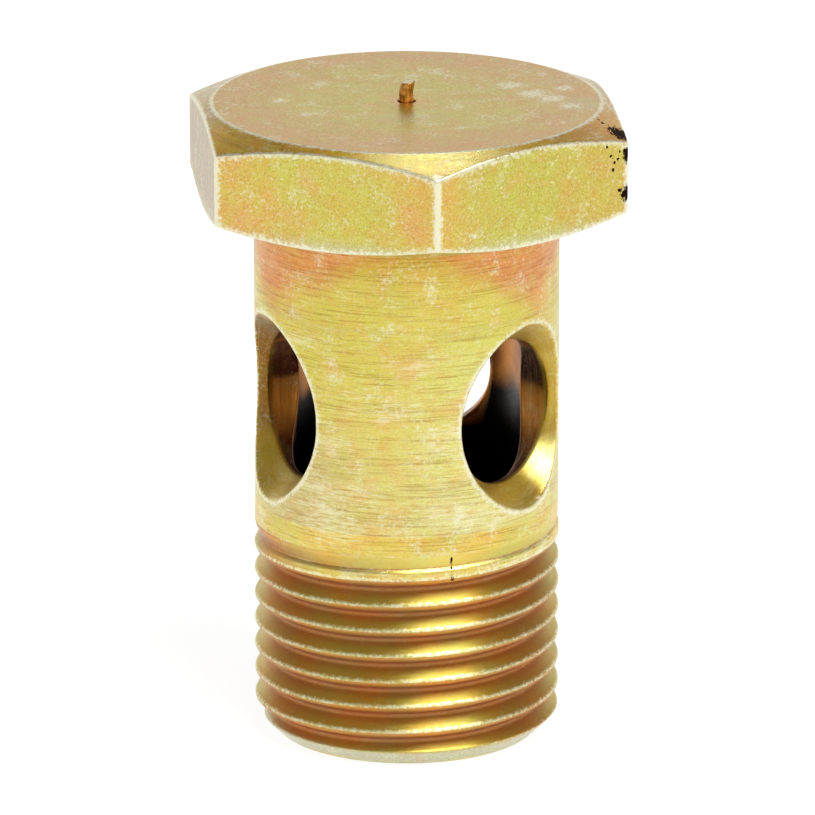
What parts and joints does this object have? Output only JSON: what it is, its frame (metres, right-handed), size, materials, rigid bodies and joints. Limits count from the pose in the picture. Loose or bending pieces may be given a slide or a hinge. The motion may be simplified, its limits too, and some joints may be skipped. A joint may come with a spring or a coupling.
{
  "type": "automatic air vent bolt",
  "caption": "Hollow hexagon vent bolt with cross ports, a pipe thread and a float-operated jiggle pin in its head.",
  "frame": {"origin": "centre of the seat face under the head, on the thread axis", "axes": "+Z along the thread axis, out through the top of the head; -Y towards one corner of the hexagon"},
  "size_m": [0.028, 0.0324, 0.0459],
  "materials": {
    "body": "yellow chromated zinc, iridescent",
    "pin": "bronze wire",
    "seal": "matte",
    "washer": "plain",
    "float": "natural",
    "retainer": "stainless, punched",
    "ring": "spring wire"
  },
  "bodies": {
    "bolt": {"vent_body": "body", "retainer_disc": "retainer", "snap_ring": "ring"},
    "float": {"vent_pin": "pin", "seal_disc": "seal", "seal_washer": "washer", "float_cup": "float", "float_lid": "float"}
  },
  "joints": [
    {"name": "float_lift", "type": "slide", "parent": "bolt", "child": "float", "axis": [0, 0, 1], "range_m": [0, 0.0011]}
  ]
}
